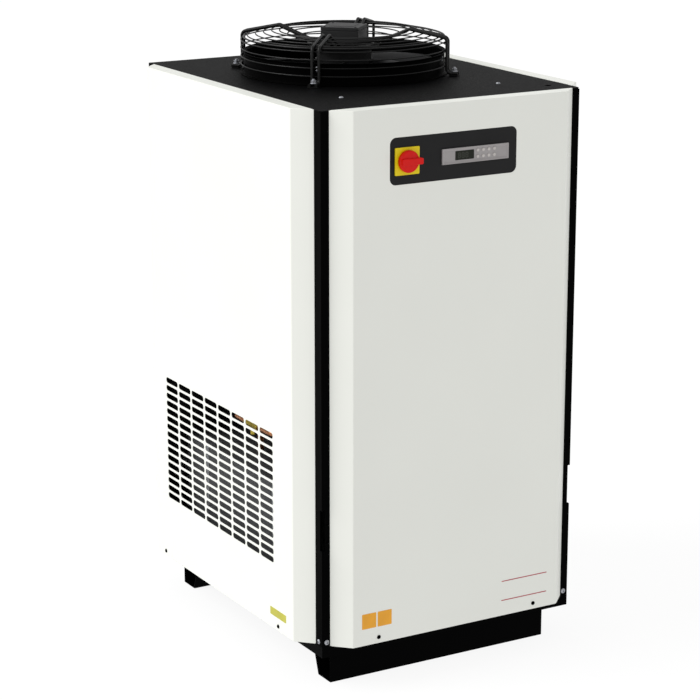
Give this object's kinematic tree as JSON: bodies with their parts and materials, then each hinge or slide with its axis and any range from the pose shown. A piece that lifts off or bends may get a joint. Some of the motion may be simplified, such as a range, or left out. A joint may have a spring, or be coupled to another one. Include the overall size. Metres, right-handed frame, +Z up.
{
  "type": "refrigerated air dryer",
  "caption": "Floor-standing refrigerated compressed-air dryer: bevelled white cabinet on black skids, top axial fan under a wire guard, slotted side grilles, front switch and keypad.",
  "frame": {"origin": "on the floor at the middle of the plan, under the skids", "axes": "+Z up; the front with the controls faces -Y; +X is to the right of a viewer facing the front"},
  "size_m": [0.79, 1.032, 1.517],
  "materials": {
    "white_paint": "Light grey-white powder coat on folded sheet steel, satin with a fine orange peel.",
    "black_paint": "Black powder coat on frame, tray and skids, satin.",
    "plate_paint": "Dark grey textured powder coat on the top plate.",
    "wire_coating": "Black dip coating on welded steel wire, slightly glossy.",
    "black_plastic": "Black moulded plastic with a fine grain.",
    "zinc": "Zinc-plated fasteners, faintly blue.",
    "yellow_plastic": "Yellow moulded plate of the disconnect switch.",
    "red_plastic": "Red moulded handle, soft gloss.",
    "silver_plastic": "Silver-grey coated plastic of the controller.",
    "display_lens": "Dark olive display window, glossy.",
    "key_plastic": "Off-white key caps, matt.",
    "coil_aluminium": "Bright fin stock with galvanised end plates.",
    "galvanised_steel": "Galvanised or nickel-plated steel, dull.",
    "insulation_foam": "Grey closed-cell insulation around the heat exchanger.",
    "copper": "Drawn copper tube, lightly tarnished.",
    "brass": "Machined brass valve bodies."
  },
  "bodies": {
    "cabinet": {"front_panel": "white_paint", "left_panel": "white_paint", "right_panel": "white_paint", "rear_panel": "white_paint", "front_skid": "black_paint", "rear_skid": "black_paint", "base_tray": "black_paint", "post_front_left": "black_paint", "post_front_right": "black_paint", "post_rear_left": "black_paint", "post_rear_right": "black_paint", "bell_mouth": "black_paint", "compressor": "black_paint", "liquid_receiver": "black_paint", "top_plate": "plate_paint", "fan_guard": "wire_coating", "fan_motor": "black_plastic", "fan_terminal_box": "black_plastic", "fan_terminal_lid": "black_plastic", "fan_cable_gland": "black_plastic", "control_bezel": "black_plastic", "switch_body": "black_plastic", "cable_gland": "black_plastic", "guard_nut_1": "zinc", "guard_nut_2": "zinc", "guard_nut_3": "zinc", "guard_nut_4": "zinc", "switch_plate": "yellow_plastic", "controller_housing": "silver_plastic", "controller_lens": "display_lens", "condenser_coil": "coil_aluminium", "fan_plenum": "galvanised_steel", "electrical_box": "galvanised_steel", "electrical_cover": "galvanised_steel", "compressor_base": "galvanised_steel", "air_inlet_pipe": "galvanised_steel", "air_outlet_pipe": "galvanised_steel", "heat_exchanger_module": "insulation_foam", "discharge_pipe": "copper", "liquid_pipe": "copper", "suction_pipe": "copper", "hot_gas_pipe_rear": "copper", "hot_gas_pipe_front": "copper", "drain_pipe": "copper", "filter_drier": "copper", "hot_gas_valve": "brass", "drain_solenoid": "brass", "drain_ball_valve": "brass"},
    "fan_wheel": {"fan_rotor": "black_plastic", "fan_impeller": "black_plastic"},
    "switch_handle": {"switch_handle": "red_plastic"},
    "drain_lever": {"drain_lever": "red_plastic"},
    "key_1": {"key_1": "key_plastic"},
    "key_2": {"key_2": "key_plastic"},
    "key_3": {"key_3": "key_plastic"},
    "key_4": {"key_4": "key_plastic"},
    "key_5": {"key_5": "key_plastic"},
    "key_6": {"key_6": "key_plastic"},
    "key_7": {"key_7": "key_plastic"},
    "key_8": {"key_8": "key_plastic"}
  },
  "joints": [
    {"name": "fan_spin", "type": "hinge", "parent": "cabinet", "child": "fan_wheel", "pos_m": [0, 0.054, 1.415], "axis": [0, 0, 1], "continuous": true},
    {"name": "switch_turn", "type": "hinge", "parent": "cabinet", "child": "switch_handle", "pos_m": [-0.152, -0.505, 1.277], "axis": [0, -1, 0], "range_deg": [0, 90]},
    {"name": "drain_lever_turn", "type": "hinge", "parent": "cabinet", "child": "drain_lever", "pos_m": [-0.02, 0.488, 0.1503], "axis": [0, 0, -1], "range_deg": [0, 90]},
    {"name": "key_press_1", "type": "slide", "parent": "cabinet", "child": "key_1", "axis": [0, 1, 0], "range_m": [0, 0.0008], "stiffness_N_per_m": 400},
    {"name": "key_press_2", "type": "slide", "parent": "cabinet", "child": "key_2", "axis": [0, 1, 0], "range_m": [0, 0.0008], "stiffness_N_per_m": 400},
    {"name": "key_press_3", "type": "slide", "parent": "cabinet", "child": "key_3", "axis": [0, 1, 0], "range_m": [0, 0.0008], "stiffness_N_per_m": 400},
    {"name": "key_press_4", "type": "slide", "parent": "cabinet", "child": "key_4", "axis": [0, 1, 0], "range_m": [0, 0.0008], "stiffness_N_per_m": 400},
    {"name": "key_press_5", "type": "slide", "parent": "cabinet", "child": "key_5", "axis": [0, 1, 0], "range_m": [0, 0.0008], "stiffness_N_per_m": 400},
    {"name": "key_press_6", "type": "slide", "parent": "cabinet", "child": "key_6", "axis": [0, 1, 0], "range_m": [0, 0.0008], "stiffness_N_per_m": 400},
    {"name": "key_press_7", "type": "slide", "parent": "cabinet", "child": "key_7", "axis": [0, 1, 0], "range_m": [0, 0.0008], "stiffness_N_per_m": 400},
    {"name": "key_press_8", "type": "slide", "parent": "cabinet", "child": "key_8", "axis": [0, 1, 0], "range_m": [0, 0.0008], "stiffness_N_per_m": 400}
  ]
}
